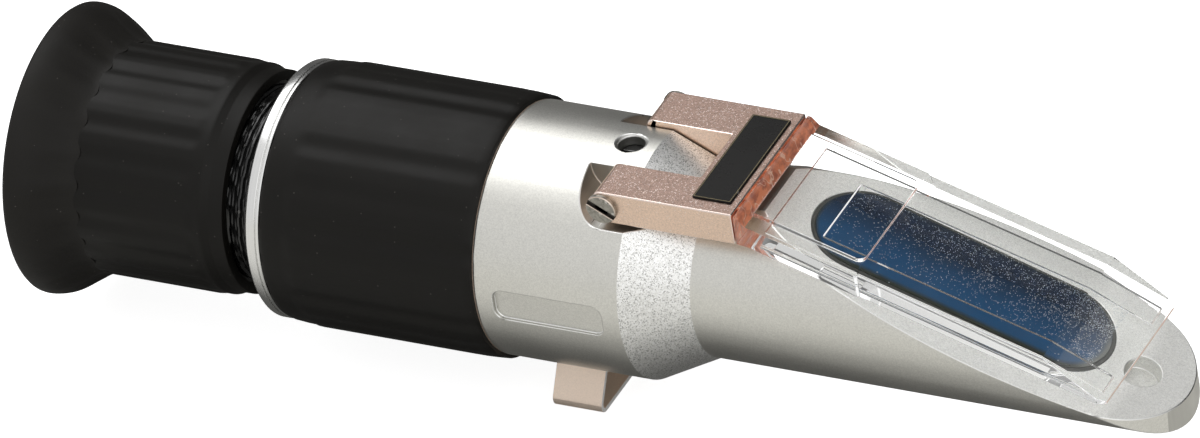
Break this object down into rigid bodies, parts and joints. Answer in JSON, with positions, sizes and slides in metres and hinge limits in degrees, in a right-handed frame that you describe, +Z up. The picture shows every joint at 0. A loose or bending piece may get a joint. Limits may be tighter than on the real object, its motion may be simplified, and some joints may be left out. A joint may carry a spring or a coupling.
{
  "type": "hand-held refractometer",
  "caption": "Hand-held coolant refractometer: tubular body cut at a slant over a prism, hinged clear cover plate, rubber grip, focusing eyepiece with eyecup, small sheet foot.",
  "frame": {"origin": "middle of the foot's underside", "axes": "+X along the optical axis from the eyepiece to the nose, +Z up, out of the side that carries the cover plate, +Y to the left when looking through the eyepiece"},
  "size_m": [0.1608, 0.0388, 0.0409],
  "materials": {
    "satin_aluminium": "satin, bead-blasted, with sparkle on the cone and the inclined face",
    "turned_aluminium": "bright turned",
    "rose_aluminium": "rose-gold anodised over a sparkle blast",
    "champagne_sheet": "satin champagne",
    "prism_glass": "polished, blue",
    "prism_sealant": "matte grey",
    "lens_glass": "polished",
    "clear_acrylic": "polished, clear",
    "copper_film": "copper-coloured, wrinkled",
    "label_gloss": "gloss black",
    "grip_rubber": "satin black",
    "eyecup_rubber": "matte brown-black",
    "black_gloss": "gloss black",
    "black_anodised": "matte black",
    "blackened_steel": "dark",
    "nickel_screw": "nickel plated",
    "spring_steel": "bright",
    "bimetal": "rolled strip",
    "nylon": "natural nylon"
  },
  "bodies": {
    "housing": {"body_housing": "satin_aluminium", "prism": "prism_glass", "prism_seal": "prism_sealant", "light_baffle": "black_anodised", "carrier_spring": "spring_steel", "bimetal_strip": "bimetal", "bimetal_screw": "spring_steel", "reticle_cell": "black_anodised", "reticle": "lens_glass", "reticle_retainer": "black_anodised", "rubber_grip": "grip_rubber", "grip_collar": "turned_aluminium", "ocular_socket": "black_gloss", "hinge_screws": "nickel_screw", "foot_bracket": "champagne_sheet"},
    "carrier": {"objective_carrier": "black_anodised", "objective_lens": "lens_glass"},
    "adjuster": {"calibration_screw": "blackened_steel"},
    "stop_ring": {"travel_stop_ring": "nylon"},
    "eyepiece": {"eyepiece_barrel": "black_gloss", "focus_sleeve": "grip_rubber", "eyecup": "eyecup_rubber", "eye_lens": "lens_glass", "lens_spacer": "black_anodised", "field_lens": "lens_glass", "lens_retainer": "black_anodised"},
    "lid": {"lid_frame": "rose_aluminium", "lid_label": "label_gloss", "plate_adhesive": "copper_film", "cover_plate": "clear_acrylic"}
  },
  "joints": [
    {"name": "lid_hinge", "type": "hinge", "parent": "housing", "child": "lid", "pos_m": [0.0098, 0, 0.03615], "axis": [0, -1, 0], "range_deg": [-1.6, 125]},
    {"name": "focus_slide", "type": "slide", "parent": "housing", "child": "stop_ring", "axis": [1, 0, 0], "range_m": [-0.002, 0.003]},
    {"name": "focus_turn", "type": "hinge", "parent": "stop_ring", "child": "eyepiece", "pos_m": [-0.04, 0, 0.0215], "axis": [1, 0, 0], "range_deg": [-181, 271]},
    {"name": "carrier_shift", "type": "slide", "parent": "housing", "child": "carrier", "axis": [0, 0, 1], "range_m": [-0.00025, 0.00025], "deforming": ["carrier_spring"]},
    {"name": "calibration_turn", "type": "hinge", "parent": "housing", "child": "adjuster", "pos_m": [0.0088, 0, 0.035], "axis": [0, 0, 1], "range_deg": [-181, 181]}
  ],
  "couplings": [
    {"joint": "focus_turn", "follows": "focus_slide", "rad_per_m": 1570.8},
    {"joint": "calibration_turn", "follows": "carrier_shift", "rad_per_m": 12566}
  ]
}
